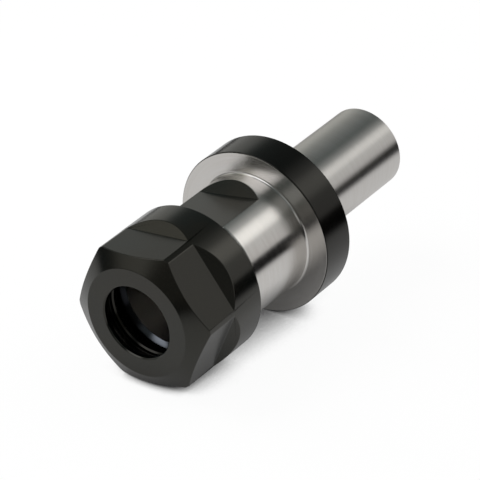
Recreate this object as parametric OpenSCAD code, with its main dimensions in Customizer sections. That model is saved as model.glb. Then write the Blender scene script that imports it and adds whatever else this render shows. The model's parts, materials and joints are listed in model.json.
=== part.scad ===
// Collet chuck holder with a straight shank, lying on its side.
// The chuck axis runs along Y, with the clamping nut towards -Y and the shank towards +Y.
// The origin is the centre of the flange's rear face, which is the face that seats on the machine.

/* [Shank] */
// Diameter of the ground shank
shank_d = 19.05; // [18:0.05:25.4]
// Length of the shank behind the flange
shank_len = 35.05; // [25:0.05:70]
// Chamfer at the end of the shank
shank_chamfer = 0.2; // [0.1:0.1:1.5]
// Diameter of the through bore in the shank
shank_bore_d = 12.5; // [8:0.1:13]

/* [Flange] */
// Diameter of the flange
flange_d = 38.1; // [34:0.1:44]
// Thickness of the flange
flange_t = 8.7; // [6:0.1:14]
// Chamfer at both edges of the flange's rim
flange_chamfer = 0.2; // [0.1:0.1:1]

/* [Barrel] */
// Diameter of the ground barrel between the nut and the flange
barrel_d = 28; // [26.5:0.1:31]
// Length of the barrel, from its front shoulder to the flange
barrel_len = 18.7; // [15:0.1:35]
// Chamfer at the barrel's front shoulder
barrel_chamfer = 0.5; // [0.2:0.1:1]
// Radius of the fillet where the barrel meets the flange
root_fillet_r = 0.6; // [0.3:0.1:1.5]
// Size across the two wrench flats
wrench_af = 23; // [22:0.1:25]
// Full-diameter length left between the wrench flats and the flange, at the foot of their shoulder
wrench_flat_margin = 5.3; // [4:0.1:8]
// Angle between the shoulder of a wrench flat and the axis
wrench_shoulder_angle = 45; // [35:1:60]

/* [Threaded nose] */
// Nominal diameter of the clamping thread
thread_d = 25; // [24.5:0.1:26]
// Pitch of the clamping thread
thread_pitch = 1.5; // [1:0.25:2]
// Length of the nose, from the barrel's shoulder to its front face
nose_len = 13.8; // [12.6:0.1:20]
// Chamfer at the front of the nose
nose_chamfer = 0.4; // [0.2:0.1:0.8]
// Width of the undercut between the thread and the barrel
undercut_w = 2; // [1:0.1:3]
// Diameter of that undercut
undercut_d = 22.8; // [22.4:0.1:23.4]

/* [Collet socket] */
// Diameter of the tapered socket at the nose's front face
socket_d = 21; // [20.5:0.1:21.4]
// Half angle of the socket's taper
socket_half_angle = 8; // [7:0.5:9]
// Depth of the taper
socket_len = 25; // [20:0.5:28]
// Diameter of the plain bore behind the taper
relief_bore_d = 13.5; // [13:0.1:13.8]
// Depth of that plain bore, behind the taper
relief_bore_len = 12; // [6:0.5:16]
// Angle between the drilled bottom of the plain bore and the axis
drill_angle = 59; // [45:1:75]

/* [Clamping nut] */
// Outer diameter of the nut's collar
nut_d = 34; // [33:0.1:34.4]
// Length of the nut
nut_len = 20.5; // [19.5:0.1:22]
// Size across the nut's hexagon flats
nut_af = 30; // [29.6:0.1:31]
// Length of the hexagon flats, from the nut's front face
nut_flat_len = 11; // [9:0.1:13]
// Angle between the shoulders behind the flats and the axis
nut_shoulder_angle = 38.7; // [30:0.1:55]
// Diameter of the flat ring on the nut's front face
nut_face_d = 25; // [22:0.1:27]
// Angle between the nut's front face and the cone around it
nut_cone_angle = 30; // [20:1:35]
// Chamfer at the rear edge of the collar
nut_rear_chamfer = 0.3; // [0.1:0.1:1]
// Distance from the nut's front face to the front face of the nose inside it
nut_reach = 9.2; // [8.6:0.1:10]
// Angle that the nut is turned by from the wrench flats
nut_turn = 3.7; // [0:0.1:60]
// Radial running clearance between the nut and the nose
thread_clearance = 0.05; // [0.02:0.01:0.1]

/* [Inside of the nut] */
// Diameter of the nut's mouth
mouth_d = 16.5; // [14:0.1:17]
// Length of the mouth's straight land
mouth_land = 1.2; // [0.8:0.1:1.6]
// Chamfer at the mouth's front edge
mouth_chamfer = 0.3; // [0.1:0.1:0.5]
// Half angle of the cone that presses on the collet
press_half_angle = 30; // [28:1:32]
// Diameter at the wide end of that cone
press_d = 18.6; // [18.2:0.1:19]
// Diameter of the recess that takes the collet's head
head_recess_d = 20.6; // [20:0.1:21.4]
// Width of that recess
head_recess_w = 1.3; // [1:0.1:2]
// Diameter of the opening in the extraction ridge
ridge_d = 19.6; // [19.2:0.1:20]
// Offset of that opening from the axis
ridge_offset = 0.75; // [0.4:0.05:0.9]
// Width of the extraction ridge
ridge_w = 1.6; // [1.2:0.1:2]
// Chamfer at both edges of the ridge
ridge_chamfer = 0.3; // [0.1:0.1:0.5]
// Direction of the ridge's high side, around the axis from the top
ridge_dir = 230; // [0:5:355]
// Diameter of the run-out between the ridge and the thread
runout_d = 25.4; // [25:0.1:26.5]
// Width of that run-out
runout_w = 2.6; // [2:0.1:3.5]
// Chamfer at the rear of the nut's thread
nut_thread_chamfer = 0.9; // [0.4:0.1:1.5]

/* [Hidden] */
$fn = 128;

// Amount that a cut runs past the face it opens
over = 1;
// Amount that the ridge's opening runs into the recess before it and the run-out behind it
ridge_lap = 0.4;
// Steps in the arc of the root fillet
fillet_steps = 6;

// Stations along Y
flange_front_y = -flange_t;
barrel_front_y = flange_front_y - barrel_len;
nose_front_y = barrel_front_y - nose_len;
nut_front_y = nose_front_y - nut_reach;
socket_end_y = nose_front_y + socket_len;
relief_end_y = socket_end_y + relief_bore_len;
flat_foot_y = flange_front_y - wrench_flat_margin;

// Both threads are plain at the pitch line, where the flanks of nut and nose meet
pitch_d = thread_d - 0.6495 * thread_pitch;
nut_bore_d = pitch_d + 2 * thread_clearance;
socket_end_d = socket_d - 2 * socket_len * tan(socket_half_angle);
relief_tip_len = (relief_bore_d - shank_bore_d) / 2 / tan(drill_angle);

// Stations inside the nut, from its front face
press_end = mouth_land + (press_d - mouth_d) / 2 / tan(press_half_angle);
ridge_start = press_end + head_recess_w;
ridge_end = ridge_start + ridge_w;
runout_end = ridge_end + runout_w;

// A turned shape along Y, from its half section as [radius, y] points
module turned(half_section) {
    rotate([-90, 0, 0]) rotate_extrude() polygon(half_section);
}

// The block that a cutter takes off one side to leave a flat at half the size across flats.
// The flat faces +Z, opens towards -Y and ends at y = foot in a shoulder that rises at the given angle.
module flat_cutter(across_flats, body_d, front, foot, angle) {
    flat_r = across_flats / 2;
    out_r = body_d / 2 + over;
    rise_len = (out_r - flat_r) / tan(angle);
    rotate([90, 0, 90])
        linear_extrude(height = body_d, center = true)
            polygon([[front, flat_r], [foot, flat_r], [foot + rise_len, out_r], [front, out_r]]);
}

module body_blank() {
    fillet_arc = [for (i = [0 : fillet_steps]) let (a = 90 * i / fillet_steps)
        [barrel_d / 2 + root_fillet_r * (1 - cos(a)), flange_front_y - root_fillet_r * (1 - sin(a))]];
    turned(concat(
        [[0, nose_front_y],
         [pitch_d / 2 - nose_chamfer, nose_front_y],
         [pitch_d / 2, nose_front_y + nose_chamfer],
         [pitch_d / 2, barrel_front_y - undercut_w],
         [undercut_d / 2, barrel_front_y - undercut_w],
         [undercut_d / 2, barrel_front_y],
         [barrel_d / 2 - barrel_chamfer, barrel_front_y],
         [barrel_d / 2, barrel_front_y + barrel_chamfer]],
        fillet_arc,
        [[flange_d / 2 - flange_chamfer, flange_front_y],
         [flange_d / 2, flange_front_y + flange_chamfer],
         [flange_d / 2, -flange_chamfer],
         [flange_d / 2 - flange_chamfer, 0],
         [shank_d / 2, 0],
         [shank_d / 2, shank_len - shank_chamfer],
         [shank_d / 2 - shank_chamfer, shank_len],
         [0, shank_len]]));
}

// The passage through the body: taper, plain bore, drilled step, shank bore and end chamfer
module body_passage() {
    mouth_grow = over * tan(socket_half_angle);
    turned([[0, nose_front_y - over],
        [socket_d / 2 + mouth_grow, nose_front_y - over],
        [socket_end_d / 2, socket_end_y],
        [relief_bore_d / 2, socket_end_y],
        [relief_bore_d / 2, relief_end_y],
        [shank_bore_d / 2, relief_end_y + relief_tip_len],
        [shank_bore_d / 2, shank_len - shank_chamfer],
        [shank_bore_d / 2 + shank_chamfer + over, shank_len + over],
        [0, shank_len + over]]);
}

// Shank, flange, barrel and threaded nose, turned and ground from one bar of steel
module chuck_body() {
    color([0.62, 0.61, 0.60])
    difference() {
        body_blank();
        body_passage();
        for (side = [0, 180])
            rotate([0, side, 0])
                flat_cutter(wrench_af, barrel_d, barrel_front_y - undercut_w / 2, flat_foot_y,
                    wrench_shoulder_angle);
    }
}

module nut_blank() {
    cone_len = (nut_d - nut_face_d) / 2 * tan(nut_cone_angle);
    rear_y = nut_front_y + nut_len;
    turned([[0, nut_front_y],
        [nut_face_d / 2, nut_front_y],
        [nut_d / 2, nut_front_y + cone_len],
        [nut_d / 2, rear_y - nut_rear_chamfer],
        [nut_d / 2 - nut_rear_chamfer, rear_y],
        [0, rear_y]]);
}

// Mouth, pressing cone and the recess for the collet's head
module nut_mouth() {
    y0 = nut_front_y;
    turned([[0, y0 - over],
        [mouth_d / 2 + mouth_chamfer + over, y0 - over],
        [mouth_d / 2, y0 + mouth_chamfer],
        [mouth_d / 2, y0 + mouth_land],
        [press_d / 2, y0 + press_end],
        [head_recess_d / 2, y0 + press_end],
        [head_recess_d / 2, y0 + ridge_start],
        [0, y0 + ridge_start]]);
}

// The off-centre opening in the ridge that pulls the collet out of its taper
module ridge_opening() {
    start_y = nut_front_y + ridge_start;
    end_y = nut_front_y + ridge_end;
    edge_r = ridge_d / 2 + ridge_chamfer;
    rotate([0, ridge_dir, 0])
        translate([0, 0, -ridge_offset])
            turned([[0, start_y - ridge_lap],
                [edge_r, start_y - ridge_lap],
                [edge_r, start_y],
                [ridge_d / 2, start_y + ridge_chamfer],
                [ridge_d / 2, end_y - ridge_chamfer],
                [edge_r, end_y],
                [edge_r, end_y + ridge_lap],
                [0, end_y + ridge_lap]]);
}

// Run-out, threaded bore and rear chamfer
module nut_thread_bore() {
    rear_y = nut_front_y + nut_len;
    turned([[0, nut_front_y + ridge_end],
        [runout_d / 2, nut_front_y + ridge_end],
        [runout_d / 2, nut_front_y + runout_end],
        [nut_bore_d / 2, nut_front_y + runout_end],
        [nut_bore_d / 2, rear_y - nut_thread_chamfer],
        [nut_bore_d / 2 + nut_thread_chamfer + over, rear_y + over],
        [0, rear_y + over]]);
}

// One-piece hexagon nut with its extraction ridge
module clamping_nut() {
    color([0.20, 0.20, 0.19])
    rotate([0, nut_turn, 0])
    difference() {
        nut_blank();
        nut_mouth();
        ridge_opening();
        nut_thread_bore();
        for (side = [0 : 60 : 300])
            rotate([0, side, 0])
                flat_cutter(nut_af, nut_d, nut_front_y - over, nut_front_y + nut_flat_len,
                    nut_shoulder_angle);
    }
}

chuck_body();
clamping_nut();
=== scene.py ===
import json
import math

import bmesh
import bpy
from mathutils import Matrix, Vector

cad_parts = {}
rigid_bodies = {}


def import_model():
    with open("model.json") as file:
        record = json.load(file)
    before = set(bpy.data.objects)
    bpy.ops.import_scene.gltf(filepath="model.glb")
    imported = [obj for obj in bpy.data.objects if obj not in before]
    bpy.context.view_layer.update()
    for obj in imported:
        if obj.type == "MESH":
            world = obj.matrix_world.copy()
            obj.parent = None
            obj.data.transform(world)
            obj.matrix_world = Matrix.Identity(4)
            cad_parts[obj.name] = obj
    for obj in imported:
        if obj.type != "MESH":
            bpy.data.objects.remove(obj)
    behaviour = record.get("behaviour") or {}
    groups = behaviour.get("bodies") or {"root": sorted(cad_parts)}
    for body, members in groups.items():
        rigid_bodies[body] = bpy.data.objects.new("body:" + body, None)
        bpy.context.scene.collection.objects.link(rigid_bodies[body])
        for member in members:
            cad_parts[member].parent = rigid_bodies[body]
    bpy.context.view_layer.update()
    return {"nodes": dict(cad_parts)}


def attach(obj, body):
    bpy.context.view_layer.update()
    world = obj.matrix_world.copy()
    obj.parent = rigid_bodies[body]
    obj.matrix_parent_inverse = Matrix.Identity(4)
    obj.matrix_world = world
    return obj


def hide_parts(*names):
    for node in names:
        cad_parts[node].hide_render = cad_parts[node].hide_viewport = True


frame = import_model()
print("frame loaded:", ", ".join(sorted(frame["nodes"])))

mm = 0.001  # the pieces are sized in millimetres, on the chuck axis Y, with the nut towards -Y


# Mesh helpers

# steps round a turn and across a rounding, angles in degrees, and how near points merge in metres
meshDetail = {"turnedSteps": 180, "ringSteps": 96, "openingSteps": 120, "cornerSteps": 4, "edgeSteps": 3,
              "softenAbove": 20, "sharpAbove": 40, "faceWeight": 100, "seamMerge": 1e-7, "threadMerge": 1e-6,
              "cutMerge": 2e-6}


def sectionLoop(points):
    # a closed half section in the plane x = 0, from (radius, y, corner) with corner the edge's rounding
    bm = bmesh.new()
    verts = [bm.verts.new((0, y * mm, radius * mm)) for radius, y, corner in points]
    for here, there in zip(verts, verts[1:] + verts[:1]):
        bm.edges.new((here, there))
    for size in sorted({corner for radius, y, corner in points if corner}):
        corners = [v for v, point in zip(verts, points) if point[2] == size]
        bmesh.ops.bevel(bm, geom=corners, offset=size * mm, offset_type="OFFSET",
                        segments=meshDetail["cornerSteps"], profile=0.5, affect="VERTICES", material=-1,
                        clamp_overlap=False)
    return bm


def spinRound(bm, steps):
    bmesh.ops.spin(bm, geom=bm.verts[:] + bm.edges[:], cent=(0, 0, 0), axis=(0, 1, 0), dvec=(0, 0, 0),
                   angle=2 * math.pi, steps=steps, use_merge=True)
    bmesh.ops.remove_doubles(bm, verts=bm.verts[:], dist=meshDetail["seamMerge"])
    bmesh.ops.recalc_face_normals(bm, faces=bm.faces[:])


def newObject(bm, name):
    mesh = bpy.data.meshes.new(name)
    bm.to_mesh(mesh)
    bm.free()
    made = bpy.data.objects.new(name, mesh)
    bpy.context.scene.collection.objects.link(made)
    return made


def turnedObject(name, points, steps):
    bm = sectionLoop(points)
    spinRound(bm, steps)
    return newObject(bm, name)


def sweptVerts(geometry):
    return [part for part in geometry if isinstance(part, bmesh.types.BMVert)]


def keepEvaluated(target):
    # puts what the modifiers give into the object's own mesh
    depsgraph = bpy.context.evaluated_depsgraph_get()
    mesh = bpy.data.meshes.new_from_object(target.evaluated_get(depsgraph), preserve_all_data_layers=True,
                                           depsgraph=depsgraph)
    target.modifiers.clear()
    old, target.data = target.data, mesh
    mesh.name = target.name
    bpy.data.meshes.remove(old)


def combine(target, tool, operation):
    cut = target.modifiers.new("cut", "BOOLEAN")
    cut.operation, cut.solver, cut.object = operation, "EXACT", tool
    keepEvaluated(target)
    bpy.data.objects.remove(tool)


def softenEdges(target, width, test):
    # a fine bevel on the sharp edges whose middle passes the test
    bm = bmesh.new()
    bm.from_mesh(target.data)
    bmesh.ops.remove_doubles(bm, verts=bm.verts[:], dist=meshDetail["cutMerge"])
    lowest = math.radians(meshDetail["softenAbove"])
    chosen = [e for e in bm.edges if len(e.link_faces) == 2 and e.calc_face_angle() > lowest
              and test((e.verts[0].co + e.verts[1].co) / 2)]
    bmesh.ops.bevel(bm, geom=chosen, offset=width * mm, offset_type="OFFSET",
                    segments=meshDetail["edgeSteps"], profile=0.5, affect="EDGES", material=-1,
                    clamp_overlap=False)
    bm.to_mesh(target.data)
    bm.free()
    print(target.name, "softened edges:", len(chosen))


def threadRod(name, thread, grow, front, rear):
    # a full right-hand thread as a closed rod, with its flanks carried past the crest and the root
    reach, pitch = thread["flankReach"], thread["pitch"]
    crest, root = thread["crest"] + grow + reach, thread["crest"] - thread["depth"] + grow - reach
    slope = math.tan(math.radians(thread["flankAngle"]))
    crestHalf = pitch / 16 - reach * slope  # the crest's flat is an eighth of the pitch
    rootHalf = crestHalf + (crest - root) * slope
    start = thread["phaseY"] - pitch * math.ceil((thread["phaseY"] - front) / pitch + thread["leadIn"])
    turns = math.ceil((rear - start) / pitch) + thread["leadOut"]
    profile = ((-pitch / 2, root), (-rootHalf, root), (-crestHalf, crest), (crestHalf, crest),
               (rootHalf, root), (pitch / 2, root))
    bm = bmesh.new()
    line = [bm.verts.new((0, (start + along) * mm, radius * mm)) for along, radius in profile]
    for here, there in zip(line, line[1:]):
        bm.edges.new((here, there))
    steps = thread["stepsPerTurn"]
    bmesh.ops.spin(bm, geom=bm.verts[:] + bm.edges[:], cent=(0, 0, 0), axis=(0, 1, 0),
                   dvec=(0, pitch * mm / steps, 0), angle=2 * math.pi * turns, steps=steps * turns,
                   use_merge=False)
    bmesh.ops.remove_doubles(bm, verts=bm.verts[:], dist=meshDetail["threadMerge"])
    for y, side in ((front, -1), (rear, 1)):
        bmesh.ops.bisect_plane(bm, geom=bm.verts[:] + bm.edges[:] + bm.faces[:], plane_co=(0, y * mm, 0),
                               plane_no=(0, side, 0), clear_outer=True)
        bmesh.ops.holes_fill(bm, edges=[e for e in bm.edges if e.is_boundary], sides=0)
    bmesh.ops.recalc_face_normals(bm, faces=bm.faces[:])
    return newObject(bm, name)


def finishShading(target):
    for face in target.data.polygons:
        face.use_smooth = True
    target.data.set_sharp_from_angle(angle=math.radians(meshDetail["sharpAbove"]))
    weighted = target.modifiers.new("weighted", "WEIGHTED_NORMAL")
    weighted.mode, weighted.weight, weighted.keep_sharp = "FACE_AREA", meshDetail["faceWeight"], True
    keepEvaluated(target)


# Node helpers

def addNode(tree, kind, inputs=None, **settings):
    made = tree.nodes.new(kind)
    for name, value in settings.items():
        setattr(made, name, value)
    for key, value in (inputs or {}).items():
        if isinstance(value, bpy.types.NodeSocket):
            tree.links.new(value, made.inputs[key])
        else:
            made.inputs[key].default_value = value
    return made


def calc(tree, operation, first, second):
    return addNode(tree, "ShaderNodeMath", {0: first, 1: second}, operation=operation).outputs[0]


def mapped(tree, value, span, result, kind="LINEAR"):
    # carries the ends of the span over to those of the result, and stops there
    ends = dict(zip((1, 2, 3, 4), (*span, *result)))
    return addNode(tree, "ShaderNodeMapRange", {0: value, **ends}, interpolation_type=kind).outputs[0]


def smoothBand(tree, value, low, high):
    # 0 below low, 1 above high, smooth between; low above high turns it round
    return mapped(tree, value, (low, high), (0.0, 1.0), "SMOOTHSTEP")


def combined(tree, operation, first, second):
    made = addNode(tree, "ShaderNodeVectorMath", {0: first, 1: second}, operation=operation)
    return made.outputs["Vector"]


def scaled(tree, vector, factor):
    return addNode(tree, "ShaderNodeVectorMath", {0: vector, 3: factor}, operation="SCALE").outputs["Vector"]


def lengthOf(tree, vector):
    return addNode(tree, "ShaderNodeVectorMath", {0: vector}, operation="LENGTH").outputs["Value"]


def tone(tree, factor, dark, light):
    return addNode(tree, "ShaderNodeMix", {0: factor, 6: (*dark, 1), 7: (*light, 1)},
                   data_type="RGBA").outputs[2]


def mixedShader(tree, factor, first, second):
    return addNode(tree, "ShaderNodeMixShader", {0: factor, 1: first, 2: second}).outputs[0]


def emptyTree(owner):
    owner.use_nodes = True
    owner.node_tree.nodes.clear()
    return owner.node_tree


def newMaterial(name):
    made = bpy.data.materials.new(name)
    made.use_nodes = True
    return made, made.node_tree, made.node_tree.nodes["Principled BSDF"]


# What the metals share

noiseSpan = (0.3, 0.7)  # where nearly all of a noise texture's values lie
noiseRoughness = 0.55  # of the lines, each finer layer's strength as a share of the last
acrossLines = 0.25  # the part of a turn that spreads a highlight across the tool's lines


def ringCoordinates(tree):
    # the place on a piece, the way out from the axis, and a length that grows along cylinders and faces
    place = addNode(tree, "ShaderNodeTexCoord").outputs["Object"]
    axes = addNode(tree, "ShaderNodeSeparateXYZ", {0: place})
    flat = addNode(tree, "ShaderNodeCombineXYZ", {
        0: axes.outputs[0], 1: 0.0, 2: axes.outputs[2]}).outputs[0]
    around = addNode(tree, "ShaderNodeVectorMath", {0: flat}, operation="NORMALIZE").outputs["Vector"]
    along = calc(tree, "ADD", axes.outputs[1], lengthOf(tree, flat))
    return place, around, along


def ringNoise(tree, around, along, lines):
    # noise drawn out round the axis into turning or grinding lines
    lift = addNode(tree, "ShaderNodeCombineXYZ", {
        0: 0.0, 1: calc(tree, "MULTIPLY", along, lines["perMetre"]), 2: 0.0}).outputs[0]
    where = combined(tree, "ADD", scaled(tree, around, lines["perTurn"]), lift)
    return addNode(tree, "ShaderNodeTexNoise", {"Vector": where, "Scale": 1.0, "Detail": lines["detail"],
                                                "Roughness": noiseRoughness}).outputs[0]


def addLineSheen(tree, shader, amount):
    # the tool's lines run round the axis, and highlights spread across them
    shader.inputs["Anisotropic"].default_value = amount
    shader.inputs["Anisotropic Rotation"].default_value = acrossLines
    tangent = addNode(tree, "ShaderNodeTangent", direction_type="RADIAL", axis="Y")
    tree.links.new(tangent.outputs[0], shader.inputs["Tangent"])


def addRelief(tree, shader, height, look):
    bump = addNode(tree, "ShaderNodeBump", {"Height": height, "Strength": look["reliefShare"],
                                            "Distance": look["reliefDepth"]})
    tree.links.new(bump.outputs[0], shader.inputs["Normal"])


# Ground steel, and the same steel blued for the chamfer at the socket's mouth. Its light tone fades out
# upwards between the two heights of paintedShadeAbove, in metres, as painted shade on the chamfer's upper
# part; on plain ground steel both heights lie above the part, so the light tone is everywhere.
groundSteelLook = {
    "dark": (0.59, 0.57, 0.545), "light": (0.625, 0.61, 0.59), "toning": (0.35, 0.65),
    "paintedShadeAbove": (0.05, 0.04), "roughness": (0.18, 0.22), "shankRoughness": 0.12,
    "shankStart": (-0.001, 0.001), "anisotropic": 0.88, "lineShare": 0.6,
    "lines": {"perTurn": 1.5, "perMetre": 5200, "detail": 3.0},
    "bands": {"perTurn": 0.7, "perMetre": 900, "detail": 2.0},
    "reliefShare": 0.003, "reliefDepth": 0.00005}
bluedSteelLook = {
    **groundSteelLook, "dark": (0.012, 0.013, 0.015), "light": (0.115, 0.125, 0.14), "toning": (0.0, 0.4),
    "paintedShadeAbove": (-0.0062, -0.009)}


def steelMaterial(name, look):
    made, tree, shader = newMaterial(name)
    place, around, along = ringCoordinates(tree)
    lines = ringNoise(tree, around, along, look["lines"])
    bands = ringNoise(tree, around, along, look["bands"])
    streaks = calc(tree, "ADD", calc(tree, "MULTIPLY", lines, look["lineShare"]),
                   calc(tree, "MULTIPLY", bands, 1 - look["lineShare"]))
    axes = addNode(tree, "ShaderNodeSeparateXYZ", {0: place})
    # the streaks' light tone, cut off by painted shade above the heights of paintedShadeAbove
    toneUnderPaintedShade = calc(tree, "MULTIPLY", smoothBand(tree, streaks, *look["toning"]),
                   smoothBand(tree, axes.outputs[2], *look["paintedShadeAbove"]))
    tree.links.new(tone(tree, toneUnderPaintedShade, look["dark"], look["light"]), shader.inputs["Base Color"])
    coarser = calc(tree, "MULTIPLY", smoothBand(tree, axes.outputs[1], *look["shankStart"]),
                   look["shankRoughness"])
    rough = calc(tree, "ADD", mapped(tree, bands, noiseSpan, look["roughness"]), coarser)
    tree.links.new(rough, shader.inputs["Roughness"])
    shader.inputs["Metallic"].default_value = 1.0
    addLineSheen(tree, shader, look["anisotropic"])
    addRelief(tree, shader, lines, look)
    return made


# Black oxide, and a darker copy of it: the deeper black of the flange's rim, and painted shade on the inside
# of the nut
blackOxideLook = {
    "warm": (0.0045, 0.004, 0.003), "cool": (0.002, 0.0035, 0.0035), "toning": (0.35, 0.65),
    "roughness": (0.16, 0.21), "anisotropic": 0.5, "ior": 1.5, "specularTint": (1.0, 0.97, 0.86),
    "cloud": {"Scale": 60.0, "Detail": 3.0}, "grain": {"Scale": 4200.0, "Detail": 2.0}, "grainShare": 0.5,
    "lines": {"perTurn": 1.2, "perMetre": 4200, "detail": 2.0},
    "reliefShare": 0.08, "reliefDepth": 0.00004}
rimBlackAndShadeLook = {
    **blackOxideLook, "warm": (0.0012, 0.001, 0.001), "cool": (0.0005, 0.001, 0.001), "ior": 1.38}


def blackMaterial(name, look):
    made, tree, shader = newMaterial(name)
    place, around, along = ringCoordinates(tree)
    cloud = addNode(tree, "ShaderNodeTexNoise", {"Vector": place, **look["cloud"]}).outputs[0]
    grain = addNode(tree, "ShaderNodeTexNoise", {"Vector": place, **look["grain"]}).outputs[0]
    lines = ringNoise(tree, around, along, look["lines"])
    tree.links.new(tone(tree, smoothBand(tree, cloud, *look["toning"]), look["cool"], look["warm"]),
                   shader.inputs["Base Color"])
    tree.links.new(mapped(tree, cloud, noiseSpan, look["roughness"]), shader.inputs["Roughness"])
    shader.inputs["IOR"].default_value = look["ior"]
    shader.inputs["Specular Tint"].default_value = (*look["specularTint"], 1)
    addLineSheen(tree, shader, look["anisotropic"])
    height = calc(tree, "ADD", calc(tree, "MULTIPLY", grain, look["grainShare"]),
                  calc(tree, "MULTIPLY", lines, 1 - look["grainShare"]))
    addRelief(tree, shader, height, look)
    return made


groundSteel = steelMaterial("groundSteel", groundSteelLook)
bluedSteel = steelMaterial("bluedSteel", bluedSteelLook)
blackOxide = blackMaterial("blackOxide", blackOxideLook)
rimBlackAndShade = blackMaterial("rimBlackAndShade", rimBlackAndShadeLook)
print("materials made")

# The clamping thread, shared by the nose and the nut; leadIn and leadOut are turns that are cut off again
clampThread = {"crest": 12.5, "depth": 0.812, "pitch": 1.5, "flankAngle": 30, "flankReach": 0.08,
               "phaseY": -35.0, "leadIn": 1.5, "leadOut": 2, "stepsPerTurn": 96}

# Chuck body: shank, flange, barrel and nose
bodySize = {
    "shankRadius": 9.525, "shankLength": 35.05, "shankChamfer": 0.2, "shankBore": 6.25,
    "flangeRadius": 19.05, "flangeLength": 8.7, "flangeChamfer": 0.2,
    "barrelRadius": 14, "barrelLength": 18.7, "barrelChamfer": 0.5, "rootFillet": 0.6, "filletSteps": 8,
    "flatHalf": 11.5, "flatToFlange": 5.3, "shoulderLength": 3, "millAbove": 2, "millHalf": 20,
    "undercut": 2, "undercutRadius": 11.4, "undercutSlope": 0.6, "undercutCorner": 0.15,
    "noseLength": 13.8, "noseChamfer": 0.95, "socketRadius": 10.5, "socketEndRadius": 6.986,
    "socketLength": 25, "socketChamfer": 0.9, "socketNarrowing": 0.13,
    "reliefRadius": 6.75, "reliefLength": 12, "reliefTip": 0.3, "edge": 0.05, "flatEdge": 0.1,
    "threadBand": (10.9, 14), "threadStart": 1, "threadRunout": 1.2, "threadLap": 2}


def bodyPlaces(size):
    # how far along the axis each part of the body reaches, from the flange's rear face at 0
    flangeFront = -size["flangeLength"]
    barrelFront = flangeFront - size["barrelLength"]
    noseFront = barrelFront - size["noseLength"]
    socketEnd = noseFront + size["socketLength"]
    return {"flangeFront": flangeFront, "barrelFront": barrelFront, "noseFront": noseFront,
            "flatFoot": flangeFront - size["flatToFlange"], "socketEnd": socketEnd,
            "reliefEnd": socketEnd + size["reliefLength"]}


bodySize.update(bodyPlaces(bodySize))

# How the edges and faces of the flats, rim, nose and mouth are told from the rest: millimetres past a size,
# but for flatEdgeHeight, which is a share of the flats' height, and the least tilts of a face's normal
bodyMargin = {"rim": 0.02, "flatEdgeFront": 0.2, "flatEdgeHeight": 0.8, "flatEdgeRadius": 0.1,
              "flatFront": 0.5, "undercut": 0.02, "barrel": 0.04, "flatTilt": 0.6, "nose": 0.02,
              "socket": 0.12, "mouthTilt": 0.2}


def filletPoints(size):
    # the concave fillet at the barrel's root
    count, fillet = size["filletSteps"], size["rootFillet"]
    angles = [math.pi / 2 * step / count for step in range(count + 1)]
    return [(size["barrelRadius"] + fillet * (1 - math.cos(a)),
             size["flangeFront"] - fillet * (1 - math.sin(a)), 0) for a in angles]


def bodySection(size):
    edge, flange, barrel = size["edge"], size["flangeRadius"], size["barrelRadius"]
    chamfer, front, end = size["flangeChamfer"], size["barrelFront"], size["shankLength"]
    nose, crest, shank = size["noseFront"], clampThread["crest"], size["shankRadius"]
    groove, corner = size["undercutRadius"], size["undercutCorner"]
    outside = [
        (crest - size["noseChamfer"], nose, edge), (crest, nose + size["noseChamfer"], 0),
        (crest, front - size["undercut"] - size["undercutSlope"], 0),
        (groove, front - size["undercut"], corner), (groove, front, corner),
        (barrel - size["barrelChamfer"], front, edge),
        (barrel, front + size["barrelChamfer"], edge)] + filletPoints(size) + [
        (flange - chamfer, size["flangeFront"], edge), (flange, size["flangeFront"] + chamfer, edge),
        (flange, -chamfer, edge), (flange - chamfer, 0, edge), (shank, 0, edge),
        (shank, end - size["shankChamfer"], edge), (shank - size["shankChamfer"], end, edge)]
    bore, relief, socket = size["shankBore"], size["reliefRadius"], size["socketRadius"]
    inside = [
        (bore + size["shankChamfer"], end, edge), (bore, end - size["shankChamfer"], edge),
        (bore, size["reliefEnd"] + size["reliefTip"], 0), (relief, size["reliefEnd"], 0),
        (relief, size["socketEnd"], 0), (size["socketEndRadius"], size["socketEnd"], 0),
        (socket - size["socketNarrowing"], nose + size["socketChamfer"], edge),
        (socket + size["socketChamfer"], nose, edge)]
    return outside + inside


def flatCutter(size, side):
    # the block that a mill takes off for one wrench flat, with its 45 degree shoulder
    bm = bmesh.new()
    flat, foot, top = size["flatHalf"], size["flatFoot"], size["barrelRadius"] + size["millAbove"]
    front, half = size["barrelFront"] - size["undercut"] / 2, size["millHalf"]
    outline = ((front, flat), (foot, flat), (foot + top - flat, top), (front, top))
    face = bm.faces.new([bm.verts.new((-half * mm, y * mm, side * z * mm)) for y, z in outline])
    swept = bmesh.ops.extrude_face_region(bm, geom=[face])["geom"]
    bmesh.ops.translate(bm, verts=sweptVerts(swept), vec=(2 * half * mm, 0, 0))
    bmesh.ops.recalc_face_normals(bm, faces=bm.faces[:])
    return newObject(bm, "flatCutter")


def threadRing(size):
    # the metal that the thread's cutter takes off the nose, which leaves the turns
    front, rear = size["noseFront"] - size["threadStart"], size["barrelFront"] - size["threadRunout"]
    inner, outer = size["threadBand"]
    ring = turnedObject("threadRing", [
        (inner, front, 0), (outer, front, 0), (outer, rear, 0), (inner, rear, 0)], meshDetail["ringSteps"])
    rod = threadRod("threadRod", clampThread, 0, size["noseFront"] - size["threadLap"], size["barrelFront"])
    combine(ring, rod, "DIFFERENCE")
    return ring


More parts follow.
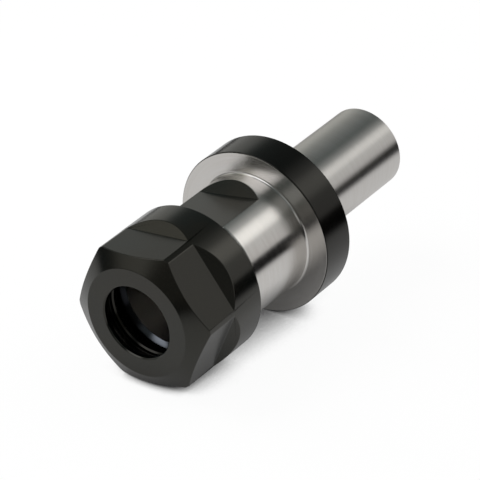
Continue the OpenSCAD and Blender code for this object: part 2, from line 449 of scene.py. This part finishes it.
def coatBody(body, size, margin):
    # bare steel, but for the black nose, flats and rim and the blued chamfer at the socket's mouth, whose
    # upper part carries painted shade
    body.data.materials.clear()
    for coat in (groundSteel, blackOxide, rimBlackAndShade, bluedSteel):
        body.data.materials.append(coat)
    steelSlot, blackSlot, rimSlot, mouthSlot = range(4)
    for face in body.data.polygons:
        radius = math.hypot(face.center.x, face.center.z) / mm
        y = face.center.y / mm
        onRim = radius > size["flangeRadius"] - size["flangeChamfer"] + margin["rim"]
        onFlat = (size["barrelFront"] - margin["flatFront"] < y < size["flatFoot"] + size["shoulderLength"]
                  and radius > size["undercutRadius"] + margin["undercut"]
                  and radius < size["barrelRadius"] - margin["barrel"]
                  and abs(face.normal.z) > margin["flatTilt"])
        onNose = (y < size["barrelFront"] - margin["nose"]
                  and radius > size["socketRadius"] - margin["socket"])
        inMouth = (radius < size["socketRadius"] + size["socketChamfer"]
                   and abs(face.normal.y) > margin["mouthTilt"])
        if onRim:
            face.material_index = rimSlot
        elif onNose and inMouth:
            face.material_index = mouthSlot
        elif onNose or onFlat:
            face.material_index = blackSlot
        else:
            face.material_index = steelSlot


def makeBody(size, margin):
    body = turnedObject("holderBody", bodySection(size), meshDetail["turnedSteps"])
    for side in (-1, 1):
        combine(body, flatCutter(size, side), "DIFFERENCE")
    ahead = (size["barrelFront"] - margin["flatEdgeFront"]) * mm
    behind = (size["flatFoot"] + size["shoulderLength"]) * mm
    lowest = margin["flatEdgeHeight"] * size["flatHalf"] * mm
    innermost = (size["undercutRadius"] + margin["flatEdgeRadius"]) * mm

    def roundFlat(middle):
        return (ahead < middle.y < behind and abs(middle.z) > lowest
                and math.hypot(middle.x, middle.z) > innermost)

    softenEdges(body, size["flatEdge"], roundFlat)
    combine(body, threadRing(size), "DIFFERENCE")
    finishShading(body)
    coatBody(body, size, margin)
    return body


holderBody = makeBody(bodySize, bodyMargin)
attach(holderBody, "chuck")
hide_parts("chuck_body")
print("holder body:", len(holderBody.data.polygons), "faces")

# Clamping nut: its reach is how far it stands in front of the nose
nutSize = {
    "reach": 9.2, "length": 20.5, "radius": 17, "faceRadius": 12.5, "coneAngle": 30, "rearChamfer": 0.3,
    "flatHalf": 15, "flatLength": 11, "shoulderAngle": 38.7, "turn": 3.7,
    "mouth": 8.25, "mouthLand": 1.2, "mouthChamfer": 0.3, "mouthEdge": 0.06,
    "press": 9.3, "pressLength": 1.819, "recess": 10.3, "recessLength": 1.3, "recessCorner": 0.1,
    "ridgeBlank": 8.9, "ridgeRadius": 9.8, "ridgeLength": 1.6, "ridgeOffset": 0.75,
    "ridgeDirection": 230, "ridgeChamfer": 0.3, "ridgeLap": 0.4,
    "runout": 12.7, "runoutLength": 2.6, "runoutCorner": 0.15, "threadMinor": 11.8, "threadChamfer": 0.9,
    "threadLead": 1.2, "threadLap": 1, "clearance": 0.05, "edge": 0.1, "flatEdge": 0.14,
    "sleeveLead": 2, "sleeveGrowth": 8, "cutterCore": 4}


def nutPlaces(size, noseFront):
    # how far along the axis each part of the nut reaches
    front = noseFront - size["reach"]
    pressEnd = front + size["mouthLand"] + size["pressLength"]
    recessEnd = pressEnd + size["recessLength"]
    ridgeEnd = recessEnd + size["ridgeLength"]
    return {"front": front, "rear": front + size["length"], "flatFoot": front + size["flatLength"],
            "pressEnd": pressEnd, "recessEnd": recessEnd, "ridgeEnd": ridgeEnd,
            "runoutEnd": ridgeEnd + size["runoutLength"]}


nutSize.update(nutPlaces(nutSize, bodySize["noseFront"]))

# In millimetres, how far outside the face and before the rear the edges to soften lie, and where the painted
# shade of the inside ends: past the run-out's wall and behind the front face
nutMargin = {"face": 1.5, "rear": 2, "wall": 0.1, "depth": 0.5}


def nutSection(size):
    front, rear, edge, minor = size["front"], size["rear"], size["edge"], size["threadMinor"]
    radius, chamfer, mouth, fine = size["radius"], size["rearChamfer"], size["mouth"], size["mouthEdge"]
    cone = (radius - size["faceRadius"]) * math.tan(math.radians(size["coneAngle"]))
    runoutEnd, ridgeEnd, recessEnd = size["runoutEnd"], size["ridgeEnd"], size["recessEnd"]
    return [
        (size["faceRadius"], front, edge), (radius, front + cone, 0), (radius, rear - chamfer, edge),
        (radius - chamfer, rear, edge), (minor + size["threadChamfer"], rear, edge),
        (minor, rear - size["threadChamfer"], 0), (minor, runoutEnd, 0), (size["runout"], runoutEnd, 0),
        (size["runout"], ridgeEnd, size["runoutCorner"]), (size["ridgeBlank"], ridgeEnd, 0),
        (size["ridgeBlank"], recessEnd, 0), (size["recess"], recessEnd, size["recessCorner"]),
        (size["recess"], size["pressEnd"], size["recessCorner"]), (size["press"], size["pressEnd"], fine),
        (mouth, front + size["mouthLand"], fine), (mouth, front + size["mouthChamfer"], fine),
        (mouth + size["mouthChamfer"], front, fine)]


def hexSleeve(size):
    # everything inside the six flats and their sloped shoulders
    start, growth = size["front"] - size["sleeveLead"], size["sleeveGrowth"]
    cornerToFlat = math.pi / 6
    corner = size["flatHalf"] / math.cos(cornerToFlat)
    bm = bmesh.new()
    bmesh.ops.create_circle(bm, cap_ends=False, segments=6, radius=corner * mm)
    for turn, axis in ((math.pi / 2, "X"), (math.radians(size["turn"]) + cornerToFlat, "Y")):
        bmesh.ops.rotate(bm, verts=bm.verts[:], cent=(0, 0, 0), matrix=Matrix.Rotation(turn, 3, axis))
    bmesh.ops.translate(bm, verts=bm.verts[:], vec=(0, start * mm, 0))
    ring = bm.edges[:]
    shoulder = growth / math.tan(math.radians(size["shoulderAngle"]))
    wider = (size["flatHalf"] + growth) / size["flatHalf"]
    for length, scale in ((size["flatFoot"] - start, 1), (shoulder, wider)):
        swept = bmesh.ops.extrude_edge_only(bm, edges=ring)["geom"]
        ring = [part for part in swept if isinstance(part, bmesh.types.BMEdge)]
        bmesh.ops.translate(bm, verts=sweptVerts(swept), vec=(0, length * mm, 0))
        bmesh.ops.scale(bm, verts=sweptVerts(swept), vec=(scale, 1, scale))
    bmesh.ops.holes_fill(bm, edges=[e for e in bm.edges if e.is_boundary], sides=0)
    bmesh.ops.recalc_face_normals(bm, faces=bm.faces[:])
    return newObject(bm, "hexSleeve")


def ridgeCutter(size):
    # the off-centre opening that leaves the extraction ridge
    start, end = size["recessEnd"], size["ridgeEnd"]
    narrow, chamfer, lap = size["ridgeRadius"], size["ridgeChamfer"], size["ridgeLap"]
    wide, core = narrow + chamfer, size["cutterCore"]
    cutter = turnedObject("ridgeCutter", [
        (core, start - lap, 0), (wide, start - lap, 0), (wide, start, 0), (narrow, start + chamfer, 0),
        (narrow, end - chamfer, 0), (wide, end, 0), (wide, end + lap, 0), (core, end + lap, 0)],
        meshDetail["openingSteps"])
    away = math.radians(size["ridgeDirection"] + size["turn"])
    cutter.data.transform(Matrix.Translation(
        -size["ridgeOffset"] * mm * Vector((math.sin(away), 0, math.cos(away)))))
    return cutter


def coatNut(nut, size, margin):
    # black oxide, with the darker copy painted on the inside as shade, which begins a little behind the
    # front face
    nut.data.materials.clear()
    for coat in (blackOxide, rimBlackAndShade):
        nut.data.materials.append(coat)
    for face in nut.data.polygons:
        inside = (math.hypot(face.center.x, face.center.z) < (size["runout"] + margin["wall"]) * mm
                  and face.center.y > (size["front"] + margin["depth"]) * mm)
        face.material_index = 1 if inside else 0


def makeNut(size, margin):
    nut = turnedObject("hexNut", nutSection(size), meshDetail["turnedSteps"])
    combine(nut, hexSleeve(size), "INTERSECT")

    def onOutside(middle):
        return (math.hypot(middle.x, middle.z) > (size["faceRadius"] + margin["face"]) * mm
                and middle.y < (size["rear"] - margin["rear"]) * mm)

    softenEdges(nut, size["flatEdge"], onOutside)
    combine(nut, ridgeCutter(size), "DIFFERENCE")
    rod = threadRod("nutThreadRod", clampThread, size["clearance"],
                    size["runoutEnd"] - size["threadLead"], size["rear"] + size["threadLap"])
    combine(nut, rod, "DIFFERENCE")
    finishShading(nut)
    coatNut(nut, size, margin)
    return nut


hexNut = makeNut(nutSize, nutMargin)
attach(hexNut, "nut")
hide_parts("clamping_nut")
print("clamping nut:", len(hexNut.data.polygons), "faces")

# The room, in metres: up is square to the table, back runs along it under the shank, right is across it
roomUp = Vector((0.1782, 0.0725, 0.9813)).normalized()
roomBack = (Vector((0, 1, 0)) - roomUp * roomUp.y).normalized()
roomRight = roomBack.cross(roomUp)

# Floor: the table, which the flange's rim and the nut's collar rest on. The camera sees it white, with a
# painted shadow at the contact. The metal mirrors a painted pool of light on it, which falls off into the
# dark room.
floorLook = {"rim": (bodySize["flangeRadius"], bodySize["flangeFront"] + bodySize["flangeChamfer"]),
             "radius": 0.6, "segments": 96, "colour": (0.9, 0.9, 0.9), "paintedShadeColour": (0.02, 0.02, 0.02),
             "shadowShare": 0.05, "fade": (0.10, 0.2), "poolCentre": (-0.01, 0.03, 0), "pool": (0.16, 0.07),
             "poolBefore": (0.35, 0.6, 0), "poolBehind": (1, 1, 0), "poolLevel": 0.78,
             "contactReach": 0.022, "contact": (0.12, 0.42), "mirroredContact": (0.2, 0.9),
             "mirroredLeast": 0.15}


def paintedLightPool(tree, place, look):
    # a painted pool of light: 0 in the dark room and poolLevel round the holder, with other slopes before
    # its centre than behind it
    shifted = combined(tree, "SUBTRACT", place, look["poolCentre"])
    before = combined(tree, "MULTIPLY", combined(tree, "MINIMUM", shifted, (0, 0, 0)), look["poolBefore"])
    behind = combined(tree, "MULTIPLY", combined(tree, "MAXIMUM", shifted, (0, 0, 0)), look["poolBehind"])
    away = lengthOf(tree, combined(tree, "ADD", before, behind))
    return calc(tree, "MULTIPLY", smoothBand(tree, away, *look["pool"]), look["poolLevel"])


def floorMaterial(look):
    made = bpy.data.materials.new("paleFloor")
    tree = emptyTree(made)
    place = addNode(tree, "ShaderNodeTexCoord").outputs["Object"]
    ray = addNode(tree, "ShaderNodeLightPath").outputs
    below = addNode(tree, "ShaderNodeNewGeometry").outputs["Backfacing"]
    openness = addNode(tree, "ShaderNodeAmbientOcclusion", {
        "Distance": look["contactReach"]}).outputs["AO"]
    white = {"Color": (1, 1, 1, 1)}

    # what the camera sees: a white glow, darkened by a painted contact shadow from the occlusion, with a
    # small share of real shadow, which fades out further away
    contact = mapped(tree, openness, look["contact"], (0.0, 1.0))
    glow = addNode(tree, "ShaderNodeEmission", {**white, "Strength": contact}).outputs[0]
    shadowed = addNode(tree, "ShaderNodeBsdfDiffuse", {"Color": (*look["colour"], 1)}).outputs[0]
    share = mapped(tree, lengthOf(tree, place), look["fade"], (1 - look["shadowShare"], 1.0), "SMOOTHSTEP")
    seen = mixedShader(tree, share, shadowed, glow)

    # what the metal mirrors: the painted pool of light, with a softer painted contact shadow; and what the
    # lamps' light meets: the floor's colour, painted dark outside the pool
    pool = paintedLightPool(tree, place, look)
    softer = mapped(tree, openness, look["mirroredContact"], (look["mirroredLeast"], 1.0))
    mirrored = addNode(tree, "ShaderNodeEmission", {
        **white, "Strength": calc(tree, "MULTIPLY", pool, softer)}).outputs[0]
    lit = addNode(tree, "ShaderNodeBsdfDiffuse", {
        "Color": tone(tree, pool, look["paintedShadeColour"], look["colour"])}).outputs[0]
    unseen = mixedShader(tree, ray["Is Glossy Ray"], lit, mirrored)

    # from below the table is clear to the camera
    clear = addNode(tree, "ShaderNodeBsdfTransparent").outputs[0]
    above = mixedShader(tree, ray["Is Camera Ray"], unseen, seen)
    fromBelow = calc(tree, "MULTIPLY", below, ray["Is Camera Ray"])
    addNode(tree, "ShaderNodeOutputMaterial", {0: mixedShader(tree, fromBelow, above, clear)})
    return made


def makeFloor(look):
    radius, y = look["rim"]
    lowest = -math.hypot(roomUp.x, roomUp.z) * radius * mm + roomUp.y * y * mm  # the rim's lowest point
    bm = bmesh.new()
    bmesh.ops.create_circle(bm, cap_ends=True, segments=look["segments"], radius=look["radius"])
    floor = newObject(bm, "floor")
    turned = Matrix((roomRight, roomBack, roomUp)).transposed().to_4x4()
    floor.matrix_world = Matrix.Translation(roomUp * lowest) @ turned
    floor.data.materials.append(floorMaterial(look))


makeFloor(floorLook)

# Studio: a white background for the camera, and soft panels of light in a dark room that the metal mirrors.
# A panel is bounded by soft bands of the directions to the side, back and up. A spot is a soft disc: its
# azimuth runs from the back to the right, and its size from its outer edge in to where it is full.
studioLook = {
    "room": (0.012, 0.012, 0.012),
    "panels": [
        {"low": (0.25, 0.5), "colour": (0.102, 0.118, 0.115)},  # overhead
        {"side": (-0.15, -0.45), "high": (0.58, 0.34), "back": (-0.35, -0.10),
         "colour": (0.60, 0.60, 0.57)},  # the left wall's rear part
        {"side": (-0.15, -0.45), "high": (0.58, 0.34), "front": (-0.10, -0.35), "low": (0.06, 0.24),
         "colour": (0.60, 0.60, 0.57)},  # the left wall's front part, which stops above the table
        {"front": (-0.3, -0.7), "high": (0.6, 0.3), "colour": (0.13, 0.13, 0.12)},  # towards the camera
        {"side": (-0.05, 0.30), "low": (0.10, 0.14), "high": (0.86, 0.70), "back": (-0.1, 0.2),
         "colour": (0.62, 0.61, 0.60)},  # the right wall
        {"side": (0.72, 0.9), "low": (0.1, 0.3), "colour": (0.4, 0.4, 0.4)}],  # far to the right
    "spots": [
        {"azimuth": 37, "elevation": 38, "size": (14, 0), "colour": (0.92, 0.90, 0.87)},
        {"azimuth": -112, "elevation": 47, "size": (17, 6), "colour": (0.6, 0.58, 0.5)},
        {"azimuth": -151, "elevation": 46, "size": (25, 12), "colour": (1.6, 1.6, 1.65)},
        {"azimuth": 145, "elevation": 37, "size": (16, 6), "colour": (0.4, 0.4, 0.4)}]}


def spotDirection(spot):
    turn, lift = math.radians(spot["azimuth"]), math.radians(spot["elevation"])
    level = roomRight * math.sin(turn) + roomBack * math.cos(turn)
    return level * math.cos(lift) + roomUp * math.sin(lift)


def makeStudio(look):
    world = bpy.data.worlds.new("studio")
    bpy.context.scene.world = world
    tree = emptyTree(world)
    direction = addNode(tree, "ShaderNodeTexCoord").outputs["Generated"]

    def towards(axis):
        return addNode(tree, "ShaderNodeVectorMath", {0: direction, 1: tuple(axis)},
                       operation="DOT_PRODUCT").outputs["Value"]

    side, back, rise = towards(roomRight), towards(roomBack), towards(roomUp)
    ways = {"side": side, "back": back, "front": back, "low": rise, "high": rise}
    total = look["room"]
    for panel in look["panels"]:
        strength = 1.0
        for way, axis in ways.items():
            if way in panel:
                strength = calc(tree, "MULTIPLY", strength, smoothBand(tree, axis, *panel[way]))
        total = combined(tree, "ADD", total, scaled(tree, panel["colour"], strength))
    for spot in look["spots"]:
        outer, inner = (math.cos(math.radians(size)) for size in spot["size"])
        strength = smoothBand(tree, towards(spotDirection(spot)), outer, inner)
        total = combined(tree, "ADD", total, scaled(tree, spot["colour"], strength))
    studio = addNode(tree, "ShaderNodeBackground", {"Color": total, "Strength": 1.0}).outputs[0]
    white = addNode(tree, "ShaderNodeBackground", {"Color": (1, 1, 1, 1), "Strength": 1.0}).outputs[0]
    ray = addNode(tree, "ShaderNodeLightPath").outputs
    addNode(tree, "ShaderNodeOutputWorld", {0: mixedShader(tree, ray["Is Camera Ray"], studio, white)})


makeStudio(studioLook)

# Lamps: two soft discs that face the holder and aren't mirrored in it
lampLook = [
    {"name": "keyLamp", "place": (-0.35, -0.05, 0.55), "size": 0.45, "power": 3.2},
    {"name": "fillLamp", "place": (0.25, 0.35, 0.5), "size": 0.6, "power": 1.4}]


def makeLamp(look):
    lamp = bpy.data.lights.new(look["name"], "AREA")
    lamp.shape, lamp.size, lamp.energy = "DISK", look["size"], look["power"]
    made = bpy.data.objects.new(look["name"], lamp)
    bpy.context.scene.collection.objects.link(made)
    made.location = look["place"]
    made.rotation_euler = (-Vector(look["place"])).to_track_quat("-Z", "Y").to_euler()
    made.visible_glossy = False


for look in lampLook:
    makeLamp(look)
print("floor, studio and lamps made")

# Camera at the photograph's angle: its place and clip in metres, its lens and sensor in millimetres
cameraLook = {"place": (0.34037, -0.40374, 0.24070), "right": (0.79439167, 0.57793436, -0.18690574),
              "up": (-0.11531907, 0.44561632, 0.88776551), "forward": (-0.59635844, 0.68367973, -0.42064075),
              "lens": 200.7, "sensor": 36, "clip": (0.01, 10)}


def makeCamera(look):
    data = bpy.data.cameras.new("photoCamera")
    data.lens, data.sensor_width = look["lens"], look["sensor"]
    data.clip_start, data.clip_end = look["clip"]
    made = bpy.data.objects.new("photoCamera", data)
    bpy.context.scene.collection.objects.link(made)
    turn = Matrix((look["right"], look["up"], -Vector(look["forward"]))).transposed()
    made.matrix_world = Matrix.Translation(look["place"]) @ turn.to_4x4()
    bpy.context.scene.camera = made


makeCamera(cameraLook)
bpy.context.scene.view_settings.view_transform = "Standard"
